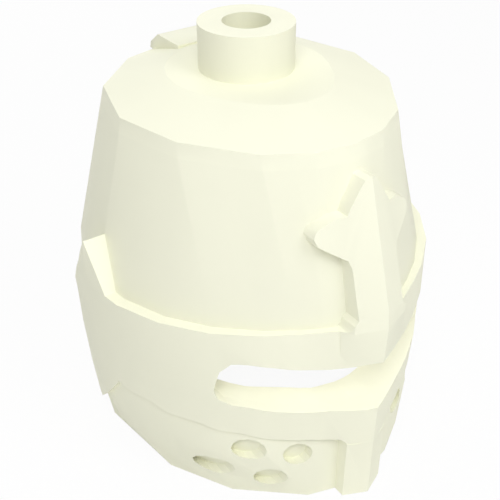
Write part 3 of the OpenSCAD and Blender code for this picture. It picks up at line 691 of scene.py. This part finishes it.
def sew(node):
    stitch, copies = one_stitch(), []
    for place, up, along in row_spots(node):
        copy = bpy.data.objects.new("stitch", stitch.data.copy())
        side = up.cross(along)
        frame_of = Matrix((side, up, along)).transposed().to_4x4()
        copy.data.transform(Matrix.Translation(place) @ frame_of)
        bpy.context.collection.objects.link(copy)
        copies.append(copy)
    bpy.data.objects.remove(stitch)
    row = join_copies(copies, node + "_stitches")
    row.data.materials.append(thread)
    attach(row, body_of[node])
    return len(copies)


print("stitches:", {node: sew(node) for node in PADS})

# %% [markdown]
# Piping
# The edge of each bag is bound with a corded welt. It is a thin round tube laid
# along the pad's outline where it meets the wall, found by rays from the head
# space, so that it follows the facets of the shell behind it.

# %% Lay the piping
WELT_R = 0.0016
WELT_CORNER = 0.008
WELT_MARGIN = 0.0005


def wall_tree():
    mesh = bmesh.new()
    for node in ("skull", "back_plate", "inner_face_plate"):
        mesh.from_mesh(nodes[node].data)
    tree_of_wall = BVHTree.FromBMesh(mesh)
    mesh.free()
    return tree_of_wall


def outline_of(first, last, low, high, corner):
    radius = 0.105
    half = math.radians(last - first) * radius / 2
    middle, mid_z, tall = (first + last) / 2, (low + high) / 2, (high - low) / 2
    spots = []
    for k in range(4):
        cx = (half - corner) * (1, -1, -1, 1)[k]
        cz = (tall - corner) * (1, 1, -1, -1)[k]
        for step in range(7):
            t = math.radians(90 * k + 15 * step)
            spots.append((cx + corner * math.cos(t), cz + corner * math.sin(t)))
    dense = []
    for (x0, z0), (x1, z1) in zip(spots, spots[1:] + spots[:1]):
        pieces = max(1, int(math.hypot(x1 - x0, z1 - z0) / 0.004))
        dense += [(x0 + (x1 - x0) * i / pieces, z0 + (z1 - z0) * i / pieces)
                  for i in range(pieces)]
    return [(middle + math.degrees(x / radius), mid_z + z) for x, z in dense]


def tube_along(points, name):
    curve = bpy.data.curves.new(name, "CURVE")
    curve.dimensions = "3D"
    curve.bevel_depth = WELT_R
    curve.bevel_resolution = 3
    line = curve.splines.new("POLY")
    line.points.add(len(points) - 1)
    for spot, point in zip(line.points, points):
        spot.co = (*point, 1)
    line.use_cyclic_u = True
    welt = bpy.data.objects.new(name, curve)
    bpy.context.collection.objects.link(welt)
    only(welt)
    bpy.ops.object.convert(target="MESH")
    bpy.ops.object.shade_smooth()
    return bpy.context.object


SPANS = {
    "brow_pad": (-62.5, 62.5), "ear_pad_right": (-128.6, -98.4),
    "ear_pad_left": (98.4, 128.6), "nape_pad": (145.5, 214.5),
}
wall_inside = wall_tree()
for node, (first, last) in SPANS.items():
    low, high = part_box(node)
    points = []
    bottom, top = low.z - WELT_MARGIN, high.z + WELT_MARGIN
    for angle, z in outline_of(first, last, bottom, top, WELT_CORNER):
        turn = math.radians(angle)
        way = Vector((math.sin(turn), -math.cos(turn), 0))
        hit = wall_inside.ray_cast(Vector((0, TUBE_Y, z)), way)
        points.append(hit[0] - way * (WELT_R + 0.0001))
    welt = tube_along(points, node + "_piping")
    welt.data.materials.append(binding)
    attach(welt, body_of[node])
    print(node, "piping of", len(points), "points")

# %% [markdown]
# Floor
# A plain pale floor that reads white in the picture, as the background there
# does, and still takes a faint shadow. What the camera sees of it is mostly a
# plain white glow of strength 1, mixed with a matte floor that carries the
# shadow. Light that bounces on to the helmet sees the matte floor only.

# %% Floor and backdrop
FLOOR_HALF = 6.0
WHITE_SHARE = 0.93


def seen_rays(tree):
    rays = add(tree, "LightPath").outputs
    seen = rays["Is Camera Ray"]
    for other in ("Is Glossy Ray", "Is Transmission Ray"):
        seen = add(tree, "Math", {0: seen, 1: rays[other]}, operation="MAXIMUM").outputs[0]
    return seen


floor_finish, tree = new_finish("white_floor")
share = multiply(tree, seen_rays(tree), WHITE_SHARE)
matte = add(tree, "BsdfDiffuse", {"Color": (0.9, 0.9, 0.9, 1)}).outputs["BSDF"]
glow = add(tree, "Emission", {"Color": (1, 1, 1, 1), "Strength": 1.0}).outputs["Emission"]
both = add(tree, "MixShader", {0: share, 1: matte, 2: glow}).outputs[0]
close_finish(tree, both)

bpy.ops.object.select_all(action="DESELECT")
bpy.ops.mesh.primitive_plane_add(size=2 * FLOOR_HALF, location=(0, 0, -0.0004))
floor = bpy.context.object
floor.name = "floor"
floor.data.materials.append(floor_finish)

# %% [markdown]
# Light
# The picture has plain soft light: the crown's top is brightest, then the front,
# and both sides fall off a little, which is what draws the ridge of the cross and
# of the nose. So two lamps stand high in front, the stronger on the camera's
# side, where it throws few shadows that the camera can see. A weak one overhead
# lifts the crown, one behind keeps the back from going dull, and a pale world
# fills the rest. In the picture the ledge inside the eye slit is as bright as the
# face, so a tiny lamp inside the helmet shines on it from above and behind.

# %% World and lamps
WORLD_LIGHT = 0.36
world = bpy.data.worlds.new("studio")
world.use_nodes = True
bpy.context.scene.world = world
tree = world.node_tree
for old in list(tree.nodes):
    tree.nodes.remove(old)
around = add(tree, "Background", {"Color": (1, 1, 1, 1), "Strength": WORLD_LIGHT})
behind = add(tree, "Background", {"Color": (1, 1, 1, 1), "Strength": 1.0})
mixed = add(tree, "MixShader", {
    0: seen_rays(tree), 1: around.outputs[0], 2: behind.outputs[0]})
add(tree, "OutputWorld", {"Surface": mixed.outputs[0]})

MIDDLE = (0, 0, 0.15)
LEDGE = (0.0, -0.128, 0.092)
LAMPS = {
    "high_right": ((-0.78, -0.95, 1.6), MIDDLE, 0.9, 14.5),
    "high_left": ((0.4, -1.36, 1.42), MIDDLE, 0.9, 8.5),
    "overhead": ((0.1, -0.1, 1.7), MIDDLE, 1.2, 2.5),
    "rear": ((0.3, 1.6, 0.9), MIDDLE, 2.2, 11.0),
    "inside": ((0.0, -0.03, 0.17), LEDGE, 0.05, 0.07),
}
for name, (place, target, size, power) in LAMPS.items():
    lamp_data = bpy.data.lights.new(name, "AREA")
    lamp_data.shape = "DISK"
    lamp_data.size = size
    lamp_data.energy = power
    lamp = bpy.data.objects.new(name, lamp_data)
    lamp.location = place
    aim = Vector(target) - lamp.location
    lamp.rotation_euler = aim.to_track_quat("-Z", "Y").to_euler()
    lamp.visible_camera = False
    bpy.context.collection.objects.link(lamp)
print("lamps:", {name: entry[-1] for name, entry in LAMPS.items()})

# %% [markdown]
# View
# The plain Standard view shows the colours as they are.

# %% Plain view settings
bpy.context.scene.view_settings.view_transform = "Standard"
